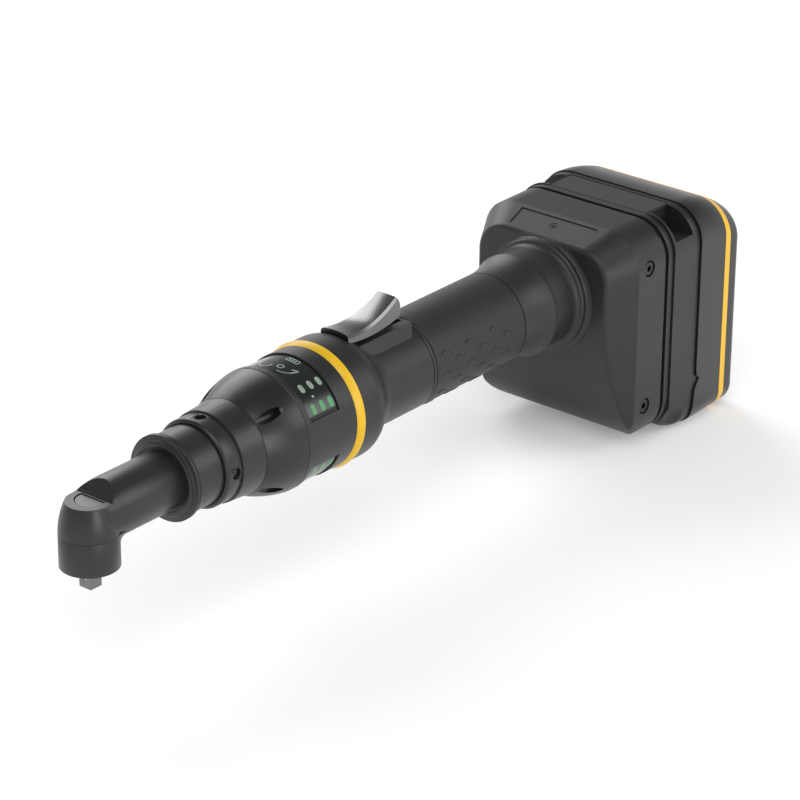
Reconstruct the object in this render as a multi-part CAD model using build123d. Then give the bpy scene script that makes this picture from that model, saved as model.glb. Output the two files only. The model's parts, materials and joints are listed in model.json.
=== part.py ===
from build123d import *
import math
import os

# A battery nutrunner with an angle head: a quarter-inch square drive under the head, a planetary gear
# case, a ring of lamps and displays, a trigger lever on a round handle, and a battery at the rear.
# Everything is drawn about the tool's long axis, with X running from the head to the battery.
# lift() then raises it, so that the origin is the middle of the square drive's end face, +Z up.
# Stations along the axis end in _x, radii in _r, heights above the axis in _z. Millimetres.

axis_height = 30.0        # tool axis above the end of the square drive
joint_gap = 0.4           # visible gap between two pieces that move against each other
seat_gap = 0.05           # between a piece and the seat that it is pushed into
running_gap = 0.05        # radial, between a shaft and the hole that it turns in

# Angle head
head_r = 12.0
head_bottom_z = -20.5
head_seam_z = -6.5
head_top_z = 6.8
head_top_r = 9.1
head_skin = 1.2           # thickness of the cover over the casting
fold_x = 3.4              # where the flat top turns up towards the tube
slope_end_x = 9.4
tube_r = 12.35
tube_end_x = 40.5
tube_front_r = 11.2       # the tube narrows a little as it runs into the head
tube_full_x = 10.0
throat_r = 4.0            # fillet between the head and the underside of the tube
cap_r = 6.3
cap_shift = 1.4
cap_cut_x = 2.8
cap_thick = 1.4
cap_sunk = 0.35

# Square drive and its spindle
square_side = 6.35
square_top_z = -20.3
square_chamfer = 0.6
detent_z = -25.4
detent_r = 1.0
detent_end = 0.2          # how far the pin's end lies inside the square's face
spindle_r = 4.5
spindle_collar_r = 5.4
stub_r = 2.5
bush_r = 4.0
bush_low_z = 1.4
bush_high_z = 4.6
lower_bearing_r = 9.2
lower_bearing_low_z = -17.9
lower_bearing_high_z = -12.4
retainer_low_z = -20.3

# Bevel pair, axes crossing at the head's centre
bevel_module = 0.8
crown_teeth = 18
pinion_teeth = 12
bevel_face = 3.0
pressure_angle = 25.0
addendum = 0.8            # in modules
dedendum = 1.0            # in modules
backlash = 0.14           # taken off each tooth's thickness

# Drive shaft in the tube
shaft_r = 3.5
shaft_bearing_r = 8.0
shaft_bearing_width = 5.0
front_bearing_x = 10.4
rear_bearing_x = 31.0
shaft_shoulder_r = 4.4
shaft_end_x = 78.0
tube_bore_r = 6.5

# Collars between the tube and the gear case
locking_collar_r = 18.1
locking_collar_front_x = 41.2
locking_collar_rear_x = 44.4
locking_step_r = 16.2
adapter_r = 16.9
adapter_front_r = 13.2
adapter_bore_r = 11.0
spigot_end_x = 56.0
nut_front_x = 58.3
nut_rear_x = 66.9
nut_r = 18.8
nut_chamfer = 0.9
nut_thread_r = 17.6
nut_lip_r = 17.05
flange_front_x = 59.6
flange_rear_x = 61.4
spanner_hole_r = 2.3
spanner_hole_x = 63.6
spanner_holes = 4

# Gear case and planetary gears
case_front_x = 67.3
case_front_r = 19.5
case_rear_r = 20.3
case_step_x = 79.7
case_body_r = 19.2
case_end_x = 104.0
planet_module = 0.75
sun_teeth = 12
planet_teeth = 12
planet_count = 3
gear_front_x = 84.0
gear_rear_x = 94.0
ring_gear_r = 16.6
planet_pin_r = 1.5
carrier_r = 13.2
carrier_thick = 3.6
case_bearing_r = 11.0
case_bearing_width = 7.0

# Nose cone with the lamps
cone_front_r = 20.35
cone_mid_x = 88.4
cone_mid_r = 24.1
cone_rear_x = 98.3
cone_rear_r = 26.4
lamp_count = 4
lamp_phase = 45.0
lamp_bore_r = 2.3
lamp_offset = 22.9
lamp_seat_x = 94.2
lens_thick = 1.6
lamp_board_thick = 1.4

# Display ring
display_front_x = 98.6
display_rear_x = 127.5
display_r = 26.4
window_front_x = 101.5
window_rear_x = 118.8
window_span = 136.0       # degrees, the same above and below
window_r = 25.7
window_inner_r = 24.0
core_r = 22.0
core_wall = 1.6
core_end_x = 142.6
display_board_r = 23.2

# Coloured ring and front of the handle
accent_front_x = 127.8
accent_rear_x = 131.8
accent_front_r = 26.1
accent_rear_r = 27.5
body_front_x = 132.1
body_r = 27.0
shoulder_x = 141.0
handle_x = 157.5
handle_r = 20.25
body_end_x = 184.4
body_wall = 2.5
handle_tube_r = 17.7
handle_tube_wall = 1.5
handle_tube_x = 150.0
handle_tube_end_x = 291.0

# Trigger lever and its saddle
saddle_rear_top_x = 184.2
saddle_rear_low_x = 180.4
saddle_front_x = 146.0
saddle_top_z = 21.4
saddle_top_y = 7.9
saddle_low_y = 11.6
lever_front_x = 144.5
lever_rear_x = 180.2
lever_edge = 0.9           # bright chamfer along the lever's long edges
lever_waist_x = 154.1      # lowest place of the hollow for the finger, in the middle of its width
lever_waist_z = 27.7
lever_hollow_r = 45.3
lever_crown_r = 29.0       # the top's curve across the lever
lever_front_y = 7.4
lever_rear_y = 5.4
lever_web_y = 3.6
lever_web_z = 17.4
lever_web_rear_x = 177.0
pivot_x = 150.0
pivot_z = 19.6
pivot_r = 1.5
pivot_half_length = 7.0
lever_eye_r = 3.2
slot_rear_x = 182.8

# Switch under the lever
plunger_x = 172.0
plunger_r = 2.2
plunger_top_z = 17.1
plunger_low_z = 7.0
switch_front_x = 163.0
switch_rear_x = 181.0
switch_half_width = 5.5
switch_low_z = 3.5
switch_high_z = 12.0
drive_board_x = 160.0
drive_board_end_x = 244.0

# Motor
motor_r = 16.1
motor_front_x = 104.3
motor_rear_x = 158.0
motor_wall = 1.2
stator_r = 14.8
stator_bore_r = 9.6
stator_front_x = 114.0
stator_rear_x = 148.0
stator_slots = 9
rotor_r = 9.0
magnet_count = 6
magnet_thick = 2.0
rotor_shaft_r = 3.0
motor_bearing_r = 7.0
motor_bearing_width = 4.0

# Grip and flare
band_front_x = 184.9
band_rear_x = 186.6
grip_front_x = 187.1
grip_rear_x = 246.4
flare_front_x = 246.9
flare_rear_x = 265.2
flare_r = 23.2

# Housing between the handle and the battery
neck_r = 22.4
neck_ring_r = 25.2         # outer edge of the step round the neck's root
neck_root_r = 27.6         # where the neck runs out into the housing's face
neck_step_x = 280.6
neck_start_x = 265.7
face_x = 284.0
chamfer_x = 298.0
housing_rear_x = 317.4
housing_half_y = 42.2
housing_top_z = 31.7
housing_low_z = -69.0
housing_corner_r = 16.75
face_draw_y = 7.5          # the flat face's outline is smaller than the housing's by this much
face_half_y = housing_half_y - face_draw_y
face_top_z = 25.2
face_corner_r = 14.0
face_edge_r = 2.4
housing_wall = 2.8
bow_top_z = -5.0
bow_r = 126.0
chin_r = 26.0
panel_half_y = 20.6
panel_length = 10.2
panel_thick = 1.0
panel_sunk = 0.4
panel_screw_head_r = 2.0
side_screw_x = 305.6
side_screw_z = (15.4, -49.9)
side_screw_sink_r = 3.7
side_screw_head_r = 3.0
side_screw_thread_r = 1.8
side_screw_depth = 2.0
side_screw_length = 9.0
hex_key = 2.5

# Seal, rear plate and rail
seal_inset = 1.5
plate_front_x = 319.8
plate_rear_x = 323.3
lug_width = 9.0
lug_height = 10.0
lug_front_x = 300.5
rail_neck_y = 20.0
rail_lip_y = 25.0
rail_neck_depth = 4.0
rail_lip_depth = 3.2
rail_low_z = -60.0
rail_high_z = 4.0
blade_z = (9.0, 17.0)
blade_y = (-15.0, -5.0, 5.0, 15.0)
blade_thick = 0.8
blade_reach = 6.4
board_x = 301.0
board_thick = 1.6
board_half_y = 27.0
board_low_z = -56.0
board_high_z = 16.0
standoff_r = 2.5

# Battery
frame_front_x = 323.6
parting_x = 342.4           # where the frame meets the shell
step_high_z = -44.7         # the parting line steps back between these heights
step_low_z = -54.3
step_reach = 2.8
frame_proud = 0.8           # the frame stands out from the housing by this much
shell_proud = 1.0           # and the shell from the frame
frame_half_y = housing_half_y + frame_proud
battery_top_z = 31.8
belly_x = 338.0             # in front of this the frame's underside rises like an ellipse
belly_length = 15.0
belly_rise = 9.4
belly_sections = 6
battery_corner_r = 16.0
battery_low_corner_r = 10.0
shell_rear_x = 375.5
shell_half_y = frame_half_y + shell_proud
shell_low_z = -72.0
shell_edge_r = 5.0
shell_wall = 2.4
shell_top_fall = 10.37      # the top curves down by this much to the rear
shell_draft = 0.04          # how fast the sides draw in
shell_sections = 5
stripe_front_x = 362.4
stripe_rear_x = 366.2
stripe_depth = 0.8
stripe_proud = 0.1
pocket_front_x = 324.9
pocket_rear_x = 338.0
pocket_side_y = 27.2
pocket_floor_z = 21.5
scoop_x = 325.0             # shallow finger scoops in the lower corners
scoop_z = -68.0
scoop_r = 15.5
scoop_out_y = 11.5          # how far outside the frame's side their centres are
release_half_y = 26.4
release_rear_x = 339.6
release_thick = 3.2
release_travel = 2.5
bay_front_x = 334.6       # the cells' bay starts behind the rail channel
bay_half_y = 34.4
bay_low_z = -68.8
bay_high_z = 19.5
channel_stop_z = 18.2     # the rail channel is open below and closed here
cell_r = 9.2
cell_length = 65.0
cell_columns = 2
cell_rows = 4
cell_first_x = 344.6
cell_first_z = -54.5
cell_pitch = 18.6


def lift(shape):
    return Pos(0, 0, axis_height) * shape


def turned(points):
    """Revolve an (x, radius) outline about the tool's axis."""
    return revolve(make_face(Polyline(*[(x, 0, r) for x, r in points], close=True)), Axis.X)


def spun(points):
    """Revolve a (radius, z) outline about the drive's axis."""
    return revolve(make_face(Polyline(*[(r, 0, z) for r, z in points], close=True)), Axis.Z)


def rod(x0, x1, radius, y=0.0, z=0.0):
    upright = Cylinder(radius, x1 - x0, align=(Align.CENTER, Align.CENTER, Align.MIN))
    return Pos(x0, y, z) * Rot(0, 90, 0) * upright


def ring(x0, x1, outer, inner):
    return turned([(x0, inner), (x0, outer), (x1, outer), (x1, inner)])


def post(z0, z1, radius, x=0.0, y=0.0):
    return Pos(x, y, z0) * Cylinder(radius, z1 - z0, align=(Align.CENTER, Align.CENTER, Align.MIN))


def cross_rod(x, z, radius, half_length):
    return Pos(x, 0, z) * Rot(90, 0, 0) * Cylinder(radius, 2 * half_length)


def block(x, y, z):
    """A box from three (low, high) pairs."""
    size = (x[1] - x[0], y[1] - y[0], z[1] - z[0])
    return Pos(sum(x) / 2, sum(y) / 2, sum(z) / 2) * Box(*size)


def side_prism(points, half_y):
    """Extrude an (x, z) outline to both sides of the middle plane."""
    face = make_face(Polyline(*[(x, 0, z) for x, z in points], close=True))
    return extrude(face, half_y, dir=(0, 1, 0), both=True)


def plan_prism(points, z0, z1):
    """Extrude an (x, y) outline upwards."""
    face = make_face(Polyline(*[(x, y, z0) for x, y in points], close=True))
    return extrude(face, z1 - z0, dir=(0, 0, 1))


def rounded_outline(x, half_y, low_z, high_z, radius, low_radius):
    """A rectangle across the tool with its upper and lower corners rounded."""
    sketch = Pos(0, (low_z + high_z) / 2) * Rectangle(2 * half_y, high_z - low_z)
    corners = sketch.vertices().sort_by(Axis.Y)
    sketch = fillet(corners[:2], low_radius)
    sketch = fillet(sketch.vertices().sort_by(Axis.Y)[-2:], radius)
    return Plane(origin=(x, 0, 0), x_dir=(0, 1, 0), z_dir=(1, 0, 0)) * sketch


def rounded_block(x0, x1, half_y, low_z, high_z, radius, low_radius=None):
    """A rounded rectangle, drawn across the tool, extruded from x0 to x1."""
    return extrude(rounded_outline(x0, half_y, low_z, high_z, radius, low_radius or radius), x1 - x0)


def grouped(shapes):
    """Separate solids of one kind, kept together in one node."""
    return Compound([solid for shape in shapes for solid in shape.solids()])


def around(shape, count, first=0.0):
    """Copies of a shape set round the tool's axis."""
    return [Rot(first + 360.0 * i / count, 0, 0) * shape for i in range(count)]


def bearing_x(x0, width, outer, inner):
    """A shielded ball bearing with a shallow groove in each face."""
    groove, middle, half = 0.35, (outer + inner) / 2, (outer - inner) / 4
    return turned([
        (x0, inner), (x0, middle - half), (x0 + groove, middle - half), (x0 + groove, middle + half),
        (x0, middle + half), (x0, outer), (x0 + width, outer), (x0 + width, middle + half),
        (x0 + width - groove, middle + half), (x0 + width - groove, middle - half),
        (x0 + width, middle - half), (x0 + width, inner)])


def involute(angle):
    return math.tan(angle) - angle


def tooth_half_angle(radius, pitch_r, teeth, thinner):
    """Half of the angle that an involute tooth covers at a radius."""
    alpha = math.radians(pressure_angle)
    base_r = pitch_r * math.cos(alpha)
    at_radius = math.acos(min(1.0, base_r / radius))
    return math.pi / (2 * teeth) - thinner / (2 * pitch_r) + involute(alpha) - involute(at_radius)


def gear_outline(teeth, module, thinner, tip, root, first_tooth):
    """Corners of a spur gear's outline: four on each flank, first_tooth is an angle in degrees."""
    pitch_r = teeth * module / 2
    radii = [pitch_r - root, pitch_r - root / 2, pitch_r, pitch_r + tip / 2, pitch_r + tip]
    points = []
    for i in range(teeth):
        middle = math.radians(first_tooth) + 2 * math.pi * i / teeth
        flank = [(r, tooth_half_angle(r, pitch_r, teeth, thinner)) for r in radii]
        points += [(r * math.cos(middle - a), r * math.sin(middle - a)) for r, a in flank]
        points += [(r * math.cos(middle + a), r * math.sin(middle + a)) for r, a in reversed(flank)]
    return points


def spur_gear(teeth, module, x0, x1, first_tooth, thinner=backlash, tip=addendum, root=dedendum):
    """A spur gear along X, its first tooth at an angle from +Y towards +Z."""
    outline = gear_outline(teeth, module, thinner, tip * module, root * module, first_tooth)
    face = make_face(Polyline(*[(x0, y, z) for y, z in outline], close=True))
    return extrude(face, x1 - x0, dir=(1, 0, 0))


def bevel_gear(teeth, mate_teeth, first_tooth, hub_r, hub_end):
    """A straight bevel gear round +Z with its cone's tip at the origin, hub away from the tip."""
    pitch_r = teeth * bevel_module / 2
    cone = math.atan2(teeth, mate_teeth)
    reach = pitch_r / math.sin(cone)
    tip, root = addendum * bevel_module, dedendum * bevel_module
    flat_r, flat_teeth = pitch_r / math.cos(cone), teeth / math.cos(cone)
    steps = [-root, -root / 2, 0, tip / 2, tip]
    flank = [(cone + math.atan(s / reach),
              tooth_half_angle(flat_r + s, flat_r, flat_teeth, backlash) / math.cos(cone))
             for s in steps]

    def section(height):
        points = []
        for i in range(teeth):
            middle = math.radians(first_tooth) + 2 * math.pi * i / teeth
            spread = [(height * math.tan(g), middle - a) for g, a in flank]
            spread += [(height * math.tan(g), middle + a) for g, a in reversed(flank)]
            points += [(r * math.cos(a), r * math.sin(a), height) for r, a in spread]
        return make_face(Polyline(*points, close=True))

    inner = reach - bevel_face
    outward, down = (math.sin(cone), math.cos(cone)), (-math.cos(cone), math.sin(cone))

    def corner(along, depth):
        return (along * outward[0] + depth * down[0], along * outward[1] + depth * down[1])

    over, under = -1.2 * tip, 1.5 * root
    front_z = corner(inner, under)[1]
    back = corner(reach, under)
    blank = spun([(0, front_z), corner(inner, under), corner(inner, over), corner(reach, over), back,
                  (hub_r, max(back[1], 0.0)), (hub_r, hub_end), (0, hub_end)])
    toothed = loft([section(0.4 * corner(inner, 0)[1]), section(2.2 * back[1])], ruled=True)
    teeth_part = toothed & blank
    hub = spun([(0, front_z), (min(hub_r, corner(inner, under)[0]), front_z),
                (hub_r, back[1]), (hub_r, hub_end),
                (0, hub_end)])
    return teeth_part + hub


def head_form(shrink):
    """The angle head and its tube as one outer shape, or the same shape drawn in by shrink."""
    top_z, top_r, low_r = head_top_z - shrink, head_top_r - shrink, head_r - shrink
    middle = ((low_r + top_r) / 2 + 0.55, 0, (head_seam_z + top_z) / 2 + 0.6)
    edges = [
        Line((0, 0, head_bottom_z), (low_r, 0, head_bottom_z)),
        Line((low_r, 0, head_bottom_z), (low_r, 0, head_seam_z)),
        ThreePointArc((low_r, 0, head_seam_z), middle, (top_r, 0, top_z)),
        Line((top_r, 0, top_z), (0, 0, top_z)),
        Line((0, 0, top_z), (0, 0, head_bottom_z))]
    bowl = revolve(make_face(edges), Axis.Z)
    tube = turned([(0, 0), (0, tube_front_r - shrink), (tube_full_x, tube_r - shrink),
                   (tube_end_x, tube_r - shrink), (tube_end_x, 0)])
    slope = (tube_r - head_top_z) / (slope_end_x - fold_x)
    shift = shrink * math.tan(math.atan(slope) / 2)
    high = 2 * tube_r
    kept = side_prism([(-2 * head_r, 2 * head_bottom_z), (-2 * head_r, top_z), (fold_x + shift, top_z),
                       (fold_x + shift + (high - top_z) / slope, high), (2 * tube_end_x, high),
                       (2 * tube_end_x, 2 * head_bottom_z)], 2 * head_r)
    return (bowl + tube) & kept


def head_cavity():
    """Room for the bevel gears, the bearings and the shaft inside the head casting."""
    gear_room = spun([(0, lower_bearing_high_z - 0.6), (8.7, lower_bearing_high_z - 0.6), (8.7, -2.2),
                      (5.0, 1.2), (0, 1.2)])
    pinion_room = turned([(0, 0), (0, 3.4), (4.2, 4.6), (7.8, 6.0),
                          (front_bearing_x, 6.0), (front_bearing_x, 0)])
    bearing_room = post(lower_bearing_low_z, lower_bearing_high_z, lower_bearing_r)
    throat = spun([(0, lower_bearing_high_z - 0.1), (7.4, lower_bearing_high_z - 0.1),
                   (7.4, lower_bearing_high_z + 0.8), (0, lower_bearing_high_z + 0.8)])
    retainer_room = post(head_bottom_z - 1, lower_bearing_low_z, lower_bearing_r + 0.6)
    bush_room = post(0.5, bush_high_z, bush_r)
    shaft_room = rod(front_bearing_x - 0.1, spigot_end_x + 1, tube_bore_r)
    front_seat = rod(front_bearing_x, front_bearing_x + shaft_bearing_width, shaft_bearing_r)
    rear_seat = rod(rear_bearing_x, spigot_end_x + 1, shaft_bearing_r)
    return (gear_room + pinion_room + bearing_room + throat + retainer_room + bush_room + shaft_room
            + front_seat + rear_seat)


def cap_shape(radius_change, z0, z1):
    disc = post(z0, z1, cap_r + radius_change, x=cap_shift)
    return disc & block((-20, cap_cut_x + radius_change), (-20, 20), (z0, z1))


def head_cover():
    above = block((-20, tube_end_x), (-20, 20), (head_seam_z, 20))
    cover = (head_form(0) & above) - head_form(head_skin - seat_gap)
    return cover - cap_shape(seat_gap, head_top_z - 3, head_top_z + 1)


def head_casting():
    rim_z = head_seam_z - 0.15
    below = block((0, tube_end_x), (-20, 20), (head_bottom_z, rim_z))
    lower = post(head_bottom_z, rim_z, head_r) + (rod(0, tube_end_x, tube_r) & below)
    throat = [e for e in lower.edges() if e.geom_type not in (GeomType.LINE, GeomType.CIRCLE)
              and e.center().X > 0.3 * head_r and e.center().Z < rim_z - 0.3]
    lower = fillet(throat, throat_r)
    spigot = rod(tube_end_x - 5, spigot_end_x, adapter_bore_r)
    step = rod(tube_end_x + 0.02, tube_end_x + 0.25, adapter_front_r - 0.3)
    casting = lower + head_form(head_skin) + spigot + step
    casting = casting - cap_shape(seat_gap, head_top_z - cap_sunk - cap_thick, head_top_z + 1)
    return casting - head_cavity()


def drive_spindle():
    """Square drive, shoulder, journal, gear seat and the thin stub that the top bush guides."""
    square = block((-square_side / 2, square_side / 2), (-square_side / 2, square_side / 2),
                   (-axis_height, square_top_z))
    square = chamfer(square.faces().sort_by(Axis.Z)[0].edges(), square_chamfer)
    square = chamfer(square.edges().filter_by(Axis.Z), square_chamfer / 2)
    journal = spun([(0, square_top_z), (spindle_r - running_gap, square_top_z),
                    (spindle_r - running_gap, lower_bearing_high_z),
                    (spindle_collar_r, lower_bearing_high_z), (spindle_collar_r, lower_bearing_high_z + 0.5),
                    (spindle_r, lower_bearing_high_z + 0.5), (spindle_r, -8.0), (stub_r, -6.0),
                    (stub_r, bush_high_z - 0.4), (0, bush_high_z - 0.4)])
    pin_hole = Pos(0, 0, detent_z) * Rot(0, 90, 0) * Cylinder(detent_r + running_gap, 2 * square_side)
    return square + journal - pin_hole


def retaining_pin():
    half = square_side / 2
    return rod(-half + detent_end, half - 1.4, detent_r, z=detent_z)


def crown_gear():
    """Bevel gear pressed on the spindle, teeth up, a gap facing the pinion."""
    gear = bevel_gear(crown_teeth, pinion_teeth, 180.0 / crown_teeth, 6.6, -(lower_bearing_high_z + 0.9))
    gear = Rot(180, 0, 0) * gear
    seat = spun([(0, lower_bearing_high_z), (spindle_r, lower_bearing_high_z),
                 (spindle_r, -8.0), (stub_r, -6.0),
                 (stub_r, 0), (0, 0)])
    return gear - seat


def pinion_shaft():
    """Shaft in the tube, with a bevel pinion in front and its rear end in the carrier's hub."""
    journal = shaft_r - running_gap
    bearing_end_x = front_bearing_x + shaft_bearing_width + 0.2
    gear = Rot(0, 90, 0) * bevel_gear(pinion_teeth, crown_teeth, 0.0, shaft_shoulder_r, front_bearing_x - 0.1)
    stem = turned([(front_bearing_x - 0.6, 0), (front_bearing_x - 0.6, journal), (bearing_end_x, journal),
                   (bearing_end_x, shaft_shoulder_r), (rear_bearing_x - 0.2, shaft_shoulder_r),
                   (rear_bearing_x - 0.2, journal), (shaft_end_x, journal), (shaft_end_x, 0)])
    return gear + stem


def locking_collar():
    """Slim ring that clamps the head, with a stepped front face and a groove round it."""
    middle = (locking_collar_front_x + locking_collar_rear_x) / 2 + 0.4
    return turned([(locking_collar_front_x - 0.6, adapter_front_r + seat_gap),
                   (locking_collar_front_x - 0.6, adapter_front_r + 1.6),
                   (locking_collar_front_x, locking_step_r - 0.6), (locking_collar_front_x, locking_step_r),
                   (locking_collar_front_x + 0.7, locking_step_r),
                   (locking_collar_front_x + 1.1, locking_collar_r),
                   (middle, locking_collar_r), (middle + 0.15, locking_collar_r - 0.3),
                   (middle + 0.45, locking_collar_r - 0.3), (middle + 0.6, locking_collar_r),
                   (locking_collar_rear_x - 0.3, locking_collar_r),
                   (locking_collar_rear_x, locking_collar_r - 0.3),
                   (locking_collar_rear_x, adapter_front_r + seat_gap)])


def adapter_sleeve():
    """Sleeve that holds the head's spigot; its flange is drawn back by the coupling nut."""
    bore = adapter_bore_r + seat_gap
    return turned([(tube_end_x + 0.3, bore), (tube_end_x + 0.3, adapter_front_r),
                   (locking_collar_rear_x + 0.05, adapter_front_r), (locking_collar_rear_x + 0.05, adapter_r),
                   (flange_front_x, adapter_r), (flange_front_x, nut_thread_r - 0.1),
                   (flange_rear_x, nut_thread_r - 0.1), (flange_rear_x, shaft_bearing_r),
                   (spigot_end_x + 0.1, shaft_bearing_r), (spigot_end_x + 0.1, bore)])


def coupling_nut():
    """Union nut with radial holes for a pin spanner."""
    nut = turned([(nut_front_x, nut_lip_r), (nut_front_x, nut_r - nut_chamfer),
                  (nut_front_x + nut_chamfer, nut_r),
                  (nut_rear_x, nut_r), (nut_rear_x, nut_thread_r), (flange_front_x - 0.05, nut_thread_r),
                  (flange_front_x - 0.05, nut_lip_r)])
    hole = post(nut_lip_r - 3, nut_r + 2, spanner_hole_r, x=spanner_hole_x)
    for cut in around(hole, spanner_holes):
        nut = nut - cut
    return nut


def gear_case():
    """Case round the planetary gears: threaded spigot, visible sleeve, and the body in the nose cone."""
    bore = ring_gear_r + seat_gap
    back_wall_x = gear_front_x - carrier_thick - case_bearing_width - 1.0
    return turned([(flange_rear_x + 0.05, shaft_bearing_r), (flange_rear_x + 0.05, nut_thread_r - 0.1),
                   (case_front_x - 0.3, nut_thread_r - 0.1), (case_front_x - 0.3, case_front_r - 0.5),
                   (case_front_x, case_front_r), (case_step_x - 0.2, case_rear_r),
                   (case_step_x - 0.2, case_body_r),
                   (case_end_x, case_body_r), (case_end_x, bore), (gear_front_x - carrier_thick - 0.8, bore),
                   (gear_front_x - carrier_thick - 0.8, case_bearing_r), (back_wall_x, case_bearing_r),
                   (back_wall_x, shaft_bearing_r)])


def ring_gear():
    blank = rod(gear_front_x, gear_rear_x, ring_gear_r)
    teeth = sun_teeth + 2 * planet_teeth
    hole = spur_gear(teeth, planet_module, gear_front_x - 1, gear_rear_x + 1, 90 + 180 / teeth,
                     thinner=-backlash, tip=dedendum, root=addendum)
    return blank - hole


def planet_radius():
    return planet_module * (sun_teeth + planet_teeth) / 2


def planet_gear(index):
    """One planet, drawn above the axis and then turned to its own place."""
    first_tooth = 90 + 180 / planet_teeth
    gear = spur_gear(planet_teeth, planet_module, gear_front_x + 0.3, gear_rear_x - 0.3, first_tooth)
    gear = Pos(0, 0, planet_radius()) * gear
    gear = gear - rod(gear_front_x, gear_rear_x, planet_pin_r + running_gap, z=planet_radius())
    return Rot(360 * index / planet_count, 0, 0) * gear


def planet_carrier():
    """Carrier plate with a hub that takes the drive shaft's end, and one pin for each planet."""
    plate_x = gear_front_x - carrier_thick
    hub_x = plate_x - case_bearing_width - 0.8
    hub_r = 6.0
    plate = turned([(hub_x, shaft_r), (hub_x, hub_r - running_gap), (plate_x, hub_r - running_gap),
                    (plate_x, carrier_r), (gear_front_x - 0.1, carrier_r), (gear_front_x - 0.1, 0),
                    (shaft_end_x, 0), (shaft_end_x, shaft_r)])
    pin = rod(gear_front_x - 0.6, gear_rear_x - 0.1, planet_pin_r, z=planet_radius())
    for part in around(pin, planet_count):
        plate = plate + part
    return plate


def rotor_shaft():
    """Motor shaft with the sun gear cut on its front end and the core that carries the magnets."""
    sun_rear_x = gear_rear_x + 1.0
    sun = spur_gear(sun_teeth, planet_module, gear_front_x + 0.4, sun_rear_x, 90)
    journal, core = rotor_shaft_r - running_gap, rotor_r - magnet_thick
    stem = turned([(sun_rear_x, 0), (sun_rear_x, journal), (stator_front_x - 3.0, journal),
                   (stator_front_x - 3.0, rotor_shaft_r + 0.8), (stator_front_x, rotor_shaft_r + 0.8),
                   (stator_front_x, core), (stator_rear_x, core), (stator_rear_x, rotor_shaft_r + 0.8),
                   (stator_rear_x + 2.0, rotor_shaft_r + 0.8), (stator_rear_x + 2.0, journal),
                   (motor_rear_x - 1.0, journal), (motor_rear_x - 1.0, 0)])
    return sun + stem


def rotor_magnets():
    """Curved magnets set round the rotor's core."""
    shell = ring(stator_front_x + 0.5, stator_rear_x - 0.5, rotor_r, rotor_r - magnet_thick + seat_gap)
    gap = block((stator_front_x, stator_rear_x), (-0.5, 0.5), (0, 2 * rotor_r))
    for cut in around(gap, magnet_count):
        shell = shell - cut
    return grouped([shell])


def stator():
    """Laminated stator, its slots open towards the rotor."""
    body = ring(stator_front_x, stator_rear_x, stator_r, stator_bore_r)
    slot = block((stator_front_x - 1, stator_rear_x + 1), (-0.6, 0.6), (0, stator_bore_r + 1.0))
    pocket = block((stator_front_x - 1, stator_rear_x + 1), (-2.0, 2.0),
                   (stator_bore_r + 0.8, stator_r - 1.2))
    for cut in around(slot + pocket, stator_slots):
        body = body - cut
    return body


def motor_windings():
    """One coil in each slot, with its end turns standing out of the stator."""
    coil = block((stator_front_x - 2.2, stator_rear_x + 2.2), (-1.8, 1.8),
                 (stator_bore_r + 1.0, stator_r - 1.4))
    return grouped(around(coil, stator_slots))


def motor_case():
    """Motor can with a bearing seat in each end."""
    bore_r = stator_r + seat_gap
    front_x, rear_x = motor_front_x, motor_rear_x
    seat_front, seat_rear = front_x + motor_bearing_width, rear_x - motor_bearing_width
    can = turned([(front_x, motor_bearing_r), (front_x, motor_r),
                  (rear_x, motor_r), (rear_x, motor_bearing_r),
                  (seat_rear, motor_bearing_r), (seat_rear, rotor_shaft_r + 1.6),
                  (seat_rear - motor_wall, rotor_shaft_r + 1.6), (seat_rear - motor_wall, bore_r),
                  (seat_front + motor_wall, bore_r), (seat_front + motor_wall, rotor_shaft_r + 1.6),
                  (seat_front, rotor_shaft_r + 1.6), (seat_front, motor_bearing_r)])
    flange = ring(front_x, front_x + 2.0, case_body_r, motor_r - 0.5)
    return can + flange


def cone_outline(inner_r):
    edges = [
        Line((case_step_x, 0, inner_r), (case_step_x, 0, cone_front_r)),
        ThreePointArc((case_step_x, 0, cone_front_r), (cone_mid_x, 0, cone_mid_r),
                      (cone_rear_x, 0, cone_rear_r)),
        Line((cone_rear_x, 0, cone_rear_r), (cone_rear_x, 0, inner_r)),
        Line((cone_rear_x, 0, inner_r), (case_step_x, 0, inner_r))]
    return revolve(make_face(edges), Axis.X)


def nose_cone():
    """Cone with four lamp channels that run out of it forwards as scallops."""
    cone = cone_outline(case_body_r + seat_gap)
    channel = rod(case_step_x - 5, lamp_seat_x + lens_thick, lamp_bore_r, z=lamp_offset)
    for cut in around(channel, lamp_count, lamp_phase):
        cone = cone - cut
    board_room = ring(lamp_seat_x + lens_thick - 0.05, cone_rear_x + 1, lamp_offset + lamp_bore_r + 0.25,
                      case_body_r)
    return cone - board_room


def lamp_lenses():
    lens = rod(lamp_seat_x, lamp_seat_x + lens_thick - 0.1, lamp_bore_r - seat_gap, z=lamp_offset)
    dome = Pos(lamp_seat_x, 0, lamp_offset) * Rot(0, -90, 0) * Cone(lamp_bore_r - 0.5, 0.9, 0.8, align=(
        Align.CENTER, Align.CENTER, Align.MIN))
    return grouped(around(lens + dome, lamp_count, lamp_phase))


def core_tube():
    """Inner tube that carries the display, the coloured ring and the front of the handle."""
    inner = core_r - core_wall
    return turned([(display_front_x, case_body_r + seat_gap), (display_front_x, core_r), (core_end_x, core_r),
                   (core_end_x, inner), (motor_front_x + 3.0, inner),
                   (motor_front_x + 2.1, case_body_r + seat_gap)])


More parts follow.
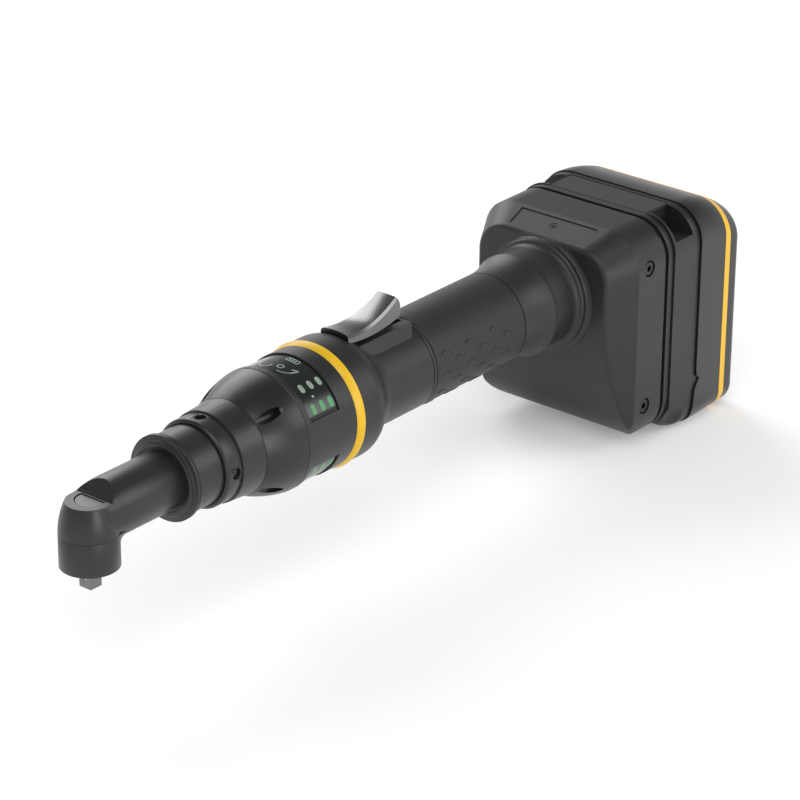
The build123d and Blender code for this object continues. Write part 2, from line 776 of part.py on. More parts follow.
def window_sector(span, x0, x1, outer, inner):
    """Part of a ring, centred above the axis."""
    face = make_face(Polyline((x0, 0, inner), (x0, 0, outer), (x1, 0, outer), (x1, 0, inner), close=True))
    return Rot(90 - span / 2, 0, 0) * revolve(Rot(-90, 0, 0) * face, Axis.X, span)


def display_ring():
    """Outer ring with one window above and one below, undercut inside for the display board."""
    body = turned([(display_front_x, core_r + seat_gap), (display_front_x, display_r - 0.3),
                   (display_front_x + 0.3, display_r), (display_rear_x, display_r),
                   (display_rear_x, core_r + seat_gap), (window_rear_x + 2.0, core_r + seat_gap),
                   (window_rear_x + 2.0, window_inner_r), (window_front_x - 1.0, window_inner_r),
                   (window_front_x - 1.0, core_r + seat_gap)])
    opening = window_sector(window_span, window_front_x, window_rear_x, display_r + 1, window_inner_r - 1)
    return body - opening - Rot(180, 0, 0) * opening


def display_windows():
    trim = math.degrees(seat_gap / window_r) * 2
    pane = window_sector(window_span - trim, window_front_x + seat_gap, window_rear_x - seat_gap, window_r,
                         window_inner_r)
    return grouped(around(pane, 2))


def ring_boards():
    """Ring-shaped board behind the lamps, and the flexible board under the windows."""
    lamp_front = lamp_seat_x + lens_thick
    lamps = ring(lamp_front, lamp_front + lamp_board_thick, lamp_offset + lamp_bore_r - 0.1,
                 case_body_r + seat_gap)
    displays = ring(window_front_x - 0.8, window_rear_x + 1.8, display_board_r, core_r + seat_gap)
    return grouped([lamps, displays])


def accent_ring():
    return turned([(accent_front_x, core_r + seat_gap), (accent_front_x, accent_front_r - 0.3),
                   (accent_front_x + 0.3, accent_front_r), (accent_rear_x - 0.9, accent_rear_r),
                   (accent_rear_x - 0.3, accent_rear_r), (accent_rear_x, accent_rear_r - 0.3),
                   (accent_rear_x, core_r + seat_gap)])


def body_outline(front_r, rear_r, x_shift):
    """The S-shaped shoulder between the front of the body and the handle, as a solid of revolution."""
    start, end = (shoulder_x + x_shift, 0, front_r), (handle_x + x_shift, 0, rear_r)
    edges = [
        Line((body_front_x, 0, 0), (body_front_x, 0, front_r)),
        Line((body_front_x, 0, front_r), start),
        Spline(start, end, tangents=[(1, 0, 0), (1, 0, 0)]),
        Line(end, (body_end_x, 0, rear_r)),
        Line((body_end_x, 0, rear_r), (body_end_x, 0, 0)),
        Line((body_end_x, 0, 0), (body_front_x, 0, 0))]
    return revolve(make_face(edges), Axis.X)


def saddle():
    """Raised seat under the trigger lever, with a flat slanted facet on each side."""
    slope = (saddle_low_y - saddle_top_y) / (saddle_top_z - math.sqrt(handle_r ** 2 - saddle_low_y ** 2))
    low_z = 12.0
    low_y = saddle_top_y + slope * (saddle_top_z - low_z)
    corners = [(-low_y, low_z), (-saddle_top_y, saddle_top_z), (saddle_top_y, saddle_top_z), (low_y, low_z)]
    section = make_face(Polyline(*[(saddle_front_x, y, z) for y, z in corners], close=True))
    seat = extrude(section, saddle_rear_top_x - saddle_front_x, dir=(1, 0, 0))
    lean = (saddle_rear_top_x - saddle_rear_low_x) / (saddle_top_z - 16.6)
    kept = side_prism([(saddle_front_x, low_z - 1), (saddle_front_x, saddle_top_z + 1),
                       (saddle_rear_top_x + lean, saddle_top_z + 1),
                       (saddle_rear_top_x - lean * (saddle_top_z - low_z + 1), low_z - 1)], 2 * handle_r)
    return seat & kept


def lever_pocket():
    """Room above the saddle for the lever's head, and the slot for its web."""
    slot_y = lever_web_y + joint_gap
    front_y, rear_y = lever_front_y + 0.4, lever_rear_y + 0.5
    head = plan_prism([(lever_front_x - 0.5, -front_y), (saddle_rear_top_x + 1, -rear_y),
                       (saddle_rear_top_x + 1, rear_y), (lever_front_x - 0.5, front_y)],
                      saddle_top_z, 40)
    slot = block((pivot_x - lever_eye_r - 0.6, slot_rear_x), (-slot_y, slot_y), (lever_web_z - 3.4, 40))
    return head + slot


def body_shell():
    """Front of the handle: shoulder, saddle and trigger slot, hollow for the motor."""
    outer = body_outline(body_r, handle_r, 0) + saddle()
    inner_r = handle_tube_r + seat_gap
    hollow = body_outline(body_r - body_wall, inner_r, -1.5)
    seat = ring(body_front_x, body_front_x + 4.0, body_r - 1, core_r + seat_gap)
    boss_y = pivot_half_length + 2.5
    boss = block((saddle_front_x - 3, handle_x), (-boss_y, boss_y), (pivot_z - lever_eye_r, 2 * handle_r))
    shell = outer - hollow + seat + (boss & outer)
    bore = rod(body_front_x - 1, body_end_x + 1, inner_r)
    pin_hole = cross_rod(pivot_x, pivot_z, pivot_r + seat_gap, pivot_half_length + 0.2)
    return shell - bore - lever_pocket() - pin_hole


def lever_side():
    """The lever's side view, left high along the top, where finger_hollow() shapes it."""
    tip, heel = (lever_front_x, 0, 24.7), (lever_rear_x - 1.6, 0, 24.5)
    high_front, high_rear = (lever_front_x, 0, 36.0), (lever_rear_x - 4.6, 0, 36.0)
    rear_top, rear_low = (lever_rear_x - 0.5, 0, 30.4), (lever_rear_x, 0, 26.6)
    edges = [
        Line(tip, high_front),
        Line(high_front, high_rear),
        ThreePointArc(high_rear, (lever_rear_x - 1.9, 0, 32.8), rear_top),
        Line(rear_top, rear_low),
        ThreePointArc(rear_low, (lever_rear_x - 0.4, 0, 25.2), heel),
        ThreePointArc(heel, (162.0, 0, 22.8), tip)]
    return extrude(make_face(edges), 12, dir=(0, 1, 0), both=True)


def finger_hollow():
    """The room above the lever: hollow along its length and waisted, so that the lever's top is crowned."""
    half_y = lever_front_y + 4
    centre_z = lever_waist_z + lever_hollow_r
    side_z = lever_waist_z - (lever_crown_r - math.sqrt(lever_crown_r ** 2 - half_y ** 2))

    def at(y, z):
        return (lever_waist_x, y, z)

    edges = [
        Line(at(-half_y, centre_z), at(-half_y, side_z)),
        ThreePointArc(at(-half_y, side_z), at(0, lever_waist_z), at(half_y, side_z)),
        Line(at(half_y, side_z), at(half_y, centre_z)),
        Line(at(half_y, centre_z), at(-half_y, centre_z))]
    return revolve(make_face(edges), Axis(at(0, centre_z), (0, 1, 0)))


def trigger_lever():
    """Lever with a tapering head, hollowed along the top for the finger, and a web with the pivot's eye."""
    plan = plan_prism([(lever_front_x - 1, -lever_front_y), (lever_rear_x + 1, -lever_rear_y),
                       (lever_rear_x + 1, lever_rear_y), (lever_front_x - 1, lever_front_y)], 20, 36)
    head = (lever_side() & plan) - finger_hollow()
    crest = [edge for edge in head.edges() if abs(edge.center().Y) > 4 and edge.center().Z > 27
             and edge.length > 20]
    head = chamfer(crest, lever_edge)
    web = side_prism([(pivot_x - 2.0, pivot_z), (pivot_x - 2.0, 25.6), (lever_web_rear_x - 6, 25.0),
                      (lever_web_rear_x, 25.6), (lever_web_rear_x, lever_web_z + 1.5),
                      (lever_web_rear_x - 1.5, lever_web_z), (pivot_x, lever_web_z)], lever_web_y)
    eye = cross_rod(pivot_x, pivot_z, lever_eye_r, lever_web_y)
    hole = cross_rod(pivot_x, pivot_z, pivot_r + running_gap, 2 * lever_web_y)
    return head + web + eye - hole


def pivot_pin():
    return cross_rod(pivot_x, pivot_z, pivot_r, pivot_half_length)


def switch_case():
    body = block((switch_front_x, switch_rear_x), (-switch_half_width, switch_half_width),
                 (switch_low_z, switch_high_z))
    body = chamfer(body.edges().filter_by(Axis.X), 0.6)
    lips = [block((x - 0.8, x + 0.8), (-switch_half_width - 1.6, switch_half_width + 1.6), (6.0, 8.0))
            for x in (switch_front_x + 3, switch_rear_x - 3)]
    for lip in lips:
        body = body + lip
    return body - post(plunger_low_z - 2.6, switch_high_z + 1, plunger_r + running_gap, x=plunger_x)


def switch_plunger():
    stem = post(plunger_low_z, plunger_top_z - 0.8, plunger_r, x=plunger_x)
    top = Pos(plunger_x, 0, plunger_top_z - 0.8) * Cone(plunger_r, plunger_r - 0.9, 0.8, align=(
        Align.CENTER, Align.CENTER, Align.MIN))
    return stem + top


def handle_tube():
    """Metal tube inside the handle, slotted under the trigger."""
    tube = ring(handle_tube_x, handle_tube_end_x, handle_tube_r, handle_tube_r - handle_tube_wall)
    slot_y = lever_web_y + joint_gap
    slot = block((handle_tube_x - 1, slot_rear_x), (-slot_y, slot_y), (8, 2 * handle_tube_r))
    return tube - slot


def handle_band():
    return ring(band_front_x, band_rear_x, handle_r - 0.05, handle_tube_r + seat_gap)


def grip_sleeve():
    """Plain rubber grip between the band and the flare."""
    sleeve = ring(grip_front_x, grip_rear_x, handle_r, handle_tube_r + seat_gap)
    sleeve = chamfer(sleeve.edges().filter_by(GeomType.CIRCLE).sort_by(Axis.X)[:2].sort_by(
        lambda e: -e.radius)[:1], 0.3)
    return sleeve


def handle_flare():
    """Flare that guards the hand at the end of the grip."""
    edges = [
        Line((flare_front_x, 0, handle_tube_r + seat_gap), (flare_front_x, 0, handle_r)),
        Spline((flare_front_x, 0, handle_r), (flare_rear_x - 0.8, 0, flare_r),
               tangents=[(1, 0, 0), (0.92, 0, 0.39)]),
        Line((flare_rear_x - 0.8, 0, flare_r), (flare_rear_x, 0, flare_r - 0.5)),
        Line((flare_rear_x, 0, flare_r - 0.5), (flare_rear_x, 0, handle_tube_r + seat_gap)),
        Line((flare_rear_x, 0, handle_tube_r + seat_gap), (flare_front_x, 0, handle_tube_r + seat_gap))]
    return revolve(make_face(edges), Axis.X)


def housing_side(inset):
    """Side view of the housing: straight face, bowed below, running into a round chin."""
    top_z, low_z = housing_top_z + 1, housing_low_z + inset
    front_x, bow, chin = face_x + inset, bow_r - inset, chin_r - inset
    sink = (bow_top_z - low_z - chin) / (bow - chin)
    turn = math.asin(sink)
    knee = (front_x + bow * (1 - math.cos(turn)), bow_top_z - bow * sink)
    chin_x = knee[0] + chin * math.cos(turn)
    half_turn = turn / 2
    bow_mid = (front_x + bow * (1 - math.cos(half_turn)), bow_top_z - bow * math.sin(half_turn))
    chin_turn = (turn + math.pi / 2) / 2
    chin_mid = (chin_x - chin * math.cos(chin_turn), low_z + chin - chin * math.sin(chin_turn))

    def at(x, z):
        return (x, 0, z)

    edges = [
        Line(at(front_x, top_z), at(front_x, bow_top_z)),
        ThreePointArc(at(front_x, bow_top_z), at(*bow_mid), at(*knee)),
        ThreePointArc(at(*knee), at(*chin_mid), at(chin_x, low_z)),
        Line(at(chin_x, low_z), at(housing_rear_x + 1, low_z)),
        Line(at(housing_rear_x + 1, low_z), at(housing_rear_x + 1, top_z)),
        Line(at(housing_rear_x + 1, top_z), at(front_x, top_z))]
    return extrude(make_face(edges), housing_half_y + 1, dir=(0, 1, 0), both=True)


def housing_form(inset):
    """Outer shape of the housing, or the same drawn in by inset: tapered front, bowed face, round chin."""
    half_y, top_z, low_z = housing_half_y - inset, housing_top_z - inset, housing_low_z + inset
    corner = housing_corner_r - inset
    straight = rounded_block(chamfer_x, housing_rear_x, half_y, low_z, top_z, corner)
    taper_drop = housing_top_z - face_top_z
    wide = rounded_outline(chamfer_x, half_y, low_z, top_z, corner, corner)
    small = rounded_outline(face_x, face_half_y - inset, low_z + taper_drop, face_top_z - inset,
                            face_corner_r - inset, face_corner_r - inset)
    return (straight + loft([small, wide], ruled=True)) & housing_side(inset)


def softened_housing():
    """The housing's outer shape with the outline of its face and chin rounded off."""
    form = housing_form(0)
    face = [edge for edge in form.edges() if abs(edge.center().X - face_x) < 3
            and edge.center().Z > bow_top_z - 35
            and not (abs(edge.center().Y) < 1 and edge.center().Z < 0)]
    chin = [edge for edge in form.edges() if edge.center().Z < -50 and abs(edge.center().Y) > 20
            and edge.center().X < chamfer_x + 14 and edge.geom_type == GeomType.BSPLINE and edge.length > 6.5]
    return fillet(face + chin, face_edge_r)


def panel_place(depth):
    """Frame on the housing's sloping top: X down the slope, Z out of it, sunk by depth."""
    drop = housing_top_z - face_top_z
    slope = math.atan(drop / (chamfer_x - face_x))
    middle = ((face_x + chamfer_x) / 2 + 0.6, housing_top_z - drop / 2 + 0.6 * math.tan(slope))
    origin = (middle[0] + depth * math.sin(slope), 0, middle[1] - depth * math.cos(slope))
    return Plane(origin=origin, x_dir=(math.cos(slope), 0, math.sin(slope)),
                 z_dir=(-math.sin(slope), 0, math.cos(slope)))


def panel_block(grow, depth, height):
    sketch = RectangleRounded(panel_length + 2 * grow, 2 * (panel_half_y + grow), 0.8 + grow)
    return extrude(panel_place(depth) * sketch, height)


def adapter_housing():
    """Housing shell with its neck, the recess for the access panel and sunk holes for the side screws."""
    outer, inner = softened_housing(), housing_form(housing_wall)
    swell, step, root = (276.5, 0, neck_r), (neck_step_x, 0, neck_ring_r - 0.6), (face_x, 0, neck_root_r)
    step_top, step_rear = (neck_step_x + 0.7, 0, neck_ring_r), (neck_step_x + 1.3, 0, neck_ring_r)
    behind = (face_x + 2, 0, neck_root_r)
    edges = [
        Line((neck_start_x, 0, 0), (neck_start_x, 0, neck_r)),
        Line((neck_start_x, 0, neck_r), swell),
        Spline(swell, step, tangents=[(1, 0, 0), (0.15, 0, 1)]),
        Line(step, step_top),
        Line(step_top, step_rear),
        Spline(step_rear, root, tangents=[(1, 0, 0), (0.2, 0, 1)]),
        Line(root, behind),
        Line(behind, (face_x + 2, 0, 0)),
        Line((face_x + 2, 0, 0), (neck_start_x, 0, 0))]
    lid = block((neck_start_x - 1, face_x + 3), (-60, 60), (-60, neck_ring_r + 0.1))
    neck = revolve(make_face(edges), Axis.X) & lid
    shell = outer + neck - inner
    thin = housing_wall + 1
    shell = shell - block((housing_rear_x - 1, housing_rear_x + 1),
                          (-housing_half_y + thin, housing_half_y - thin),
                          (housing_low_z + thin, housing_top_z - thin))
    shell = shell - rod(neck_start_x - 1, face_x + 8, handle_tube_r + seat_gap)
    backing = panel_block(1.6, panel_sunk + panel_thick + 2.4, 2.4) & outer
    shell = shell + backing - panel_block(0, panel_sunk + panel_thick, 5)
    for side in (-1, 1):
        for z in side_screw_z:
            face_y = housing_half_y - side_screw_depth
            boss = block((side_screw_x - 5, side_screw_x + 5),
                         sorted((side * (housing_half_y - housing_wall - 0.01),
                                 side * (face_y - 2.2))), (z - 5, z + 5))
            shell = shell + boss
            sink = cross_rod(side_screw_x, z, side_screw_sink_r, 4)
            shell = shell - Pos(0, side * (face_y + 4), 0) * sink
            bore = cross_rod(side_screw_x, z, side_screw_thread_r + 0.15, 6)
            shell = shell - Pos(0, side * face_y, 0) * bore
    screw_hole = extrude(panel_place(panel_sunk + panel_thick + 3) * Circle(1.2), 8)
    return shell - screw_hole


def access_panel():
    plate = panel_block(-0.15, panel_sunk + panel_thick, panel_thick)
    sink = extrude(panel_place(panel_sunk + panel_thick * 0.75) * Circle(panel_screw_head_r + 0.15), 3)
    hole = extrude(panel_place(panel_sunk + panel_thick + 1) * Circle(1.35), 4)
    return plate - sink - hole


def access_panel_screw():
    under = panel_sunk + panel_thick * 0.75
    head = extrude(panel_place(under) * Circle(panel_screw_head_r), panel_thick * 0.6)
    slots = extrude(panel_place(under - 0.3) * (Rectangle(2.4, 0.5) + Rectangle(0.5, 2.4)), 3)
    shank = extrude(panel_place(under + 2.8) * Circle(1.15), 2.8)
    return head - slots + shank


def side_screws():
    """Four socket-head screws, sunk into the housing's sides."""
    screws = []
    for side in (-1, 1):
        for z in side_screw_z:
            seat_y = housing_half_y - side_screw_depth
            away = Plane(origin=(side_screw_x, side * seat_y, z), x_dir=(1, 0, 0), z_dir=(0, side, 0))
            head = extrude(away * Circle(side_screw_head_r), 1.5)
            shank = extrude(away * Circle(side_screw_thread_r), -side_screw_length)
            socket = Plane(origin=(side_screw_x, side * (seat_y + 0.3), z), x_dir=(1, 0, 0),
                           z_dir=(0, side, 0))
            key = extrude(socket * RegularPolygon(hex_key / math.sqrt(3), 6), 3)
            screws.append(head + shank - key)
    return grouped(screws)


def housing_seal():
    outer = rounded_block(housing_rear_x + 0.02, plate_front_x - 0.02, housing_half_y - seal_inset,
                          housing_low_z + seal_inset, housing_top_z - seal_inset,
                          housing_corner_r - seal_inset)
    wall = seal_inset + 1.7
    inner = rounded_block(housing_rear_x - 1, plate_front_x + 1, housing_half_y - wall, housing_low_z + wall,
                          housing_top_z - wall, housing_corner_r - wall)
    return outer - inner


def standoff_places():
    return [(side * (board_half_y - 4), z) for side in (-1, 1) for z in (board_low_z + 5, board_high_z - 5)]


def rear_plate():
    """Plate that closes the housing: lugs for the side screws, standoffs, and the battery's T rail."""
    plate = rounded_block(plate_front_x, plate_rear_x, housing_half_y, housing_low_z, housing_top_z,
                          housing_corner_r)
    for side in (-1, 1):
        for z in side_screw_z:
            outer_y = housing_half_y - side_screw_depth - 2.4
            lug = block((lug_front_x, plate_front_x + 0.5),
                        sorted((side * (outer_y - lug_width), side * outer_y)),
                        (z - lug_height / 2, z + lug_height / 2))
            hole = Pos(0, side * (outer_y - lug_width / 2), 0) * cross_rod(
                side_screw_x, z, side_screw_thread_r + seat_gap, lug_width)
            plate = plate + lug - hole
    for y, z in standoff_places():
        plate = plate + rod(board_x + board_thick, plate_front_x + 0.5, standoff_r, y=y, z=z)
    neck_x = (plate_rear_x - 0.5, plate_rear_x + rail_neck_depth)
    lip_x = (plate_rear_x + rail_neck_depth - 0.01, plate_rear_x + rail_neck_depth + rail_lip_depth)
    neck = block(neck_x, (-rail_neck_y, rail_neck_y), (rail_low_z, rail_high_z))
    lip = block(lip_x, (-rail_lip_y, rail_lip_y), (rail_low_z, rail_high_z))
    lip = chamfer(lip.faces().sort_by(Axis.X)[-1].edges().filter_by(Axis.Z), 1.0)
    slots = [block((plate_front_x - 1, plate_rear_x + 1), (y - blade_thick / 2, y + blade_thick / 2), blade_z)
             for y in blade_y]
    plate = plate + neck + lip
    for slot in slots:
        plate = plate - slot
    return plate


def terminal_blades():
    blades = []
    for y in blade_y:
        blade = block((plate_front_x - 3, plate_rear_x + blade_reach),
                      (y - blade_thick / 2, y + blade_thick / 2), blade_z)
        blades.append(chamfer(blade.faces().sort_by(Axis.X)[-1].edges().filter_by(Axis.Y), 0.8))
    return grouped(blades)


def control_board():
    board = block((board_x, board_x + board_thick), (-board_half_y, board_half_y),
                  (board_low_z, board_high_z))
    parts = [block((board_x + board_thick, board_x + board_thick + depth), y, z) for depth, y, z in (
        (6.0, (-12, 4), (-18, -2)), (2.0, (8, 18), (-20, -10)), (9.0, (-14, -4), (-44, -34)),
        (9.0, (0, 10), (-44, -34)), (1.5, (-12, -4), (4, 12)))]
    for part in parts:
        board = board + part
    return board


def drive_board():
    """Motor drive board, held by its long edges in the handle tube; it carries the switch."""
    low_z, high_z = switch_low_z - board_thick, switch_low_z
    reach = math.sqrt((handle_tube_r - handle_tube_wall) ** 2 - high_z ** 2) - 0.05
    board = block((drive_board_x, drive_board_end_x), (-reach, reach), (low_z, high_z))
    for i in range(6):
        x = switch_rear_x + 8.0 + 8.4 * i
        for y in (-9, 3):
            board = board + block((x, x + 5), (y, y + 6), (high_z, high_z + 1.8))
    return board


def parting_side(shift, rear):
    """Everything in front of or behind the battery's parting line, which steps near its lower end."""
    far_x = shell_rear_x + 20 if rear else frame_front_x - 20
    line = [(parting_x, 60), (parting_x, step_high_z), (parting_x + 0.7, step_high_z - 3.5),
            (parting_x + step_reach, step_high_z - 4.3), (parting_x - 0.6, step_low_z),
            (parting_x - 2.0, step_low_z - 10.5), (parting_x - 2.0, -100)]
    return side_prism([(x + shift, z) for x, z in line] + [(far_x, -100), (far_x, 60)], 60)


def frame_form(back_x):
    """The battery's front frame, solid: its underside rises in a round belly to the front face."""
    sections = []
    for i in range(belly_sections):
        x = frame_front_x + (belly_x - frame_front_x) * i / (belly_sections - 1)
        rise = belly_rise * (1 - math.sqrt(1 - ((belly_x - x) / belly_length) ** 2))
        sections.append(rounded_outline(x, frame_half_y, shell_low_z + rise, battery_top_z,
                                        battery_corner_r, battery_low_corner_r))
    straight = rounded_block(belly_x, back_x, frame_half_y, shell_low_z, battery_top_z,
                             battery_corner_r, battery_low_corner_r)
    return loft(sections) + straight


def corner_pockets():
    """Grip pockets in the frame's upper corners and finger scoops in its lower ones."""
    pockets = []
    for side in (-1, 1):
        upper = block((pocket_front_x, pocket_rear_x), sorted((side * pocket_side_y, side * 60)),
                      (pocket_floor_z, 60))
        upper = fillet(upper.edges().filter_by(Axis.X).sort_by(Axis.Z)[:1], 0.8)
        scoop = Pos(scoop_x, side * (frame_half_y + scoop_out_y), scoop_z) * Sphere(scoop_r)
        pockets += [upper, scoop]
    return pockets


def battery_frame():
    """Front of the battery: rail channel open below, pockets, a bay for the cells, room for the release."""
    back_x = parting_x + step_reach + 1
    frame = frame_form(back_x) & parting_side(-joint_gap / 2, False)
    gap = joint_gap
    neck = block((frame_front_x - 1, plate_rear_x + rail_neck_depth + 0.1),
                 (-rail_neck_y - gap, rail_neck_y + gap), (-100, channel_stop_z))
    lip = block((plate_rear_x + rail_neck_depth - gap, plate_rear_x + rail_neck_depth + rail_lip_depth + gap),
                (-rail_lip_y - gap, rail_lip_y + gap), (-100, rail_high_z + 1.0))
    frame = frame - neck - lip
    blades = block((frame_front_x - 1, plate_rear_x + blade_reach + 0.8),
                   (-blade_y[-1] - 2.5, blade_y[-1] + 2.5), (-100, channel_stop_z))
    frame = frame - blades
    bay = rounded_block(bay_front_x, back_x + 1, bay_half_y, bay_low_z, bay_high_z, 2.0)
    frame = frame - bay
    release_low = battery_top_z - release_thick - release_travel - 0.6
    frame = frame - block((frame_front_x - 1, release_rear_x + joint_gap),
                          (-release_half_y - joint_gap, release_half_y + joint_gap), (release_low, 60))
    for pocket in corner_pockets():
        frame = frame - pocket
    for y in (-15, 15):
        frame = frame + post(release_low - 0.5, release_low + 0.9, 1.2, x=331.5, y=y)
    return frame


def release_panel():
    """Wide release key on top of the battery, pressed down against two springs."""
    low = battery_top_z - release_thick
    panel = block((frame_front_x, release_rear_x), (-release_half_y, release_half_y), (low, battery_top_z))
    panel = chamfer(panel.faces().sort_by(Axis.Z)[-1].edges(), 0.35)
    for y in (-15, 15):
        panel = panel - post(low - 1, low + 1.6, 2.9, x=331.5, y=y)
    return panel


def release_springs():
    base = battery_top_z - release_thick - release_travel - 0.6
    top = battery_top_z - release_thick + 1.6
    turns = 4
    springs = []
    for y in (-15, 15):
        height = top - base - 0.7
        path = Helix(height / turns, height, 2.1, center=(331.5, y, base + 0.35))
        profile = Plane(origin=path @ 0, z_dir=path % 0) * RegularPolygon(0.3, 6)
        springs.append(sweep(profile, path=path))
    return grouped(springs)


def shell_form(inset):
    """The battery case behind the frame: its top falls away to the rear, its sides draw in a little."""
    front_x, rear_x = parting_x - 2.5, shell_rear_x - inset
    top_r = ((shell_rear_x - parting_x) ** 2 + shell_top_fall ** 2) / (2 * shell_top_fall)
    sections = []
    for i in range(shell_sections):
        x = front_x + (rear_x - front_x) * i / (shell_sections - 1)
        fall = top_r - math.sqrt(top_r ** 2 - max(x - parting_x, 0.0) ** 2)
        half_y = shell_half_y - shell_draft * max(x - parting_x, 0.0) - inset
        sections.append(rounded_outline(x, half_y, shell_low_z + inset, battery_top_z + 0.4 - fall - inset,
                                        battery_corner_r - inset, battery_low_corner_r - inset))
    body = loft(sections)
    rear = body.faces().sort_by(Axis.X)[-1]
    return fillet(rear.edges(), shell_edge_r - min(inset, shell_edge_r - 1.5))


def battery_shell():
    """Rear of the battery's case, with a groove for the coloured stripe."""
    shell = (shell_form(0) - shell_form(shell_wall)) & parting_side(joint_gap / 2, True)
    groove = shell_form(-1.0) & block((stripe_front_x - 0.02, stripe_rear_x + 0.02), (-60, 60), (-100, 60))
    return shell - (groove - shell_form(stripe_depth + 0.02))


def battery_stripe():
    """Coloured band set into the groove round the case."""
    slab = block((stripe_front_x, stripe_rear_x), (-60, 60), (-100, 60))
    return (shell_form(-stripe_proud) & slab) - shell_form(stripe_depth)


def cell_places():
    return [(cell_first_x + cell_pitch * i, cell_first_z + cell_pitch * j)
            for i in range(cell_columns) for j in range(cell_rows)]


def battery_cells():
    return grouped([cross_rod(x, z, cell_r, cell_length / 2) for x, z in cell_places()])


def cell_holders():
    """End plates that hold the cells by their ends."""
    plates = []
    low_z, high_z = cell_first_z - cell_r - 1, cell_first_z + cell_pitch * (cell_rows - 1) + cell_r + 1
    x0, x1 = cell_first_x - cell_r - 0.6, cell_first_x + cell_pitch * (cell_columns - 1) + cell_r + 0.3
    for side in (-1, 1):
        plate = block((x0, x1), sorted((side * (cell_length / 2 - 4), side * (cell_length / 2 + 1.6))),
                      (low_z, high_z))
        for x, z in cell_places():
            plate = plate - cross_rod(x, z, cell_r + seat_gap, cell_length / 2)
        plates.append(plate)
    return grouped(plates)


def terminal_block():
    """Contact block behind the channel's upper end, slotted for the tool's blades."""
    x0, x1 = plate_rear_x + 0.8, plate_rear_x + blade_reach + 0.6
    body = block((x0, x1), (-17.4, 17.4), (blade_z[0] - 1.2, channel_stop_z - 0.05))
    for y in blade_y:
        body = body - block((x0 - 1, x1 + 1), (y - 0.8, y + 0.8), (blade_z[0] - 3, blade_z[1] + 0.5))
    return body


NODES = {
    "head_cover": head_cover,
    "head_casting": head_casting,
    "head_cap": lambda: cap_shape(-0.35, head_top_z - cap_sunk - cap_thick + 0.02, head_top_z - cap_sunk),
    "spindle_bush": lambda: spun([(stub_r + running_gap, bush_low_z), (bush_r, bush_low_z),
                                  (bush_r, bush_high_z - 0.02), (stub_r + running_gap, bush_high_z - 0.02)]),
    "spindle_bearing": lambda: Rot(0, -90, 0) * bearing_x(
        lower_bearing_low_z, lower_bearing_high_z - lower_bearing_low_z, lower_bearing_r, spindle_r),
    "spindle_retainer": lambda: spun([
        (spindle_r + 0.3, retainer_low_z), (lower_bearing_r + 0.6, retainer_low_z),
        (lower_bearing_r + 0.6, lower_bearing_low_z - 0.02),
        (spindle_r + 0.3, lower_bearing_low_z - 0.02)]),
    "drive_spindle": drive_spindle,
    "retaining_pin": retaining_pin,
    "crown_gear": crown_gear,
    "pinion_shaft": pinion_shaft,
    "shaft_bearings": lambda: grouped([
        bearing_x(x, shaft_bearing_width, shaft_bearing_r, shaft_r)
        for x in (front_bearing_x, rear_bearing_x)]),
    "locking_collar": locking_collar,
    "adapter_sleeve": adapter_sleeve,
    "coupling_nut": coupling_nut,
    "gear_case": gear_case,
    "carrier_bearing": lambda: bearing_x(gear_front_x - carrier_thick - case_bearing_width - 0.9,
                                         case_bearing_width, case_bearing_r, 6.0),
    "ring_gear": ring_gear,
    "planet_gear_1": lambda: planet_gear(0),
    "planet_gear_2": lambda: planet_gear(1),
    "planet_gear_3": lambda: planet_gear(2),
    "planet_carrier": planet_carrier,
    "rotor_shaft": rotor_shaft,
    "rotor_magnets": rotor_magnets,
    "stator": stator,
    "motor_windings": motor_windings,
    "motor_case": motor_case,
    "motor_bearings": lambda: grouped([
        bearing_x(x, motor_bearing_width, motor_bearing_r, rotor_shaft_r)
        for x in (motor_front_x, motor_rear_x - motor_bearing_width)]),
    "nose_cone": nose_cone,
    "lamp_lenses": lamp_lenses,
    "core_tube": core_tube,
    "display_ring": display_ring,
    "display_windows": display_windows,
    "ring_boards": ring_boards,
    "accent_ring": accent_ring,
    "body_shell": body_shell,
    "trigger_lever": trigger_lever,
    "pivot_pin": pivot_pin,
    "switch_case": switch_case,
    "switch_plunger": switch_plunger,
    "handle_tube": handle_tube,
    "handle_band": handle_band,
    "grip_sleeve": grip_sleeve,
    "handle_flare": handle_flare,
    "adapter_housing": adapter_housing,
    "access_panel": access_panel,
    "access_panel_screw": access_panel_screw,
    "side_screws": side_screws,
    "housing_seal": housing_seal,
    "rear_plate": rear_plate,
    "terminal_blades": terminal_blades,
    "control_board": control_board,
    "drive_board": drive_board,
    "battery_frame": battery_frame,
    "battery_shell": battery_shell,
    "battery_stripe": battery_stripe,
    "release_panel": release_panel,
    "release_springs": release_springs,
    "battery_cells": battery_cells,
    "cell_holders": cell_holders,
    "terminal_block": terminal_block,
}

os.makedirs("parts", exist_ok=True)
for name, make in NODES.items():
    export_step(lift(make()), "parts/" + name + ".step")
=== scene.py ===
import json
import math

import bmesh
import bpy
from mathutils import Matrix, Vector


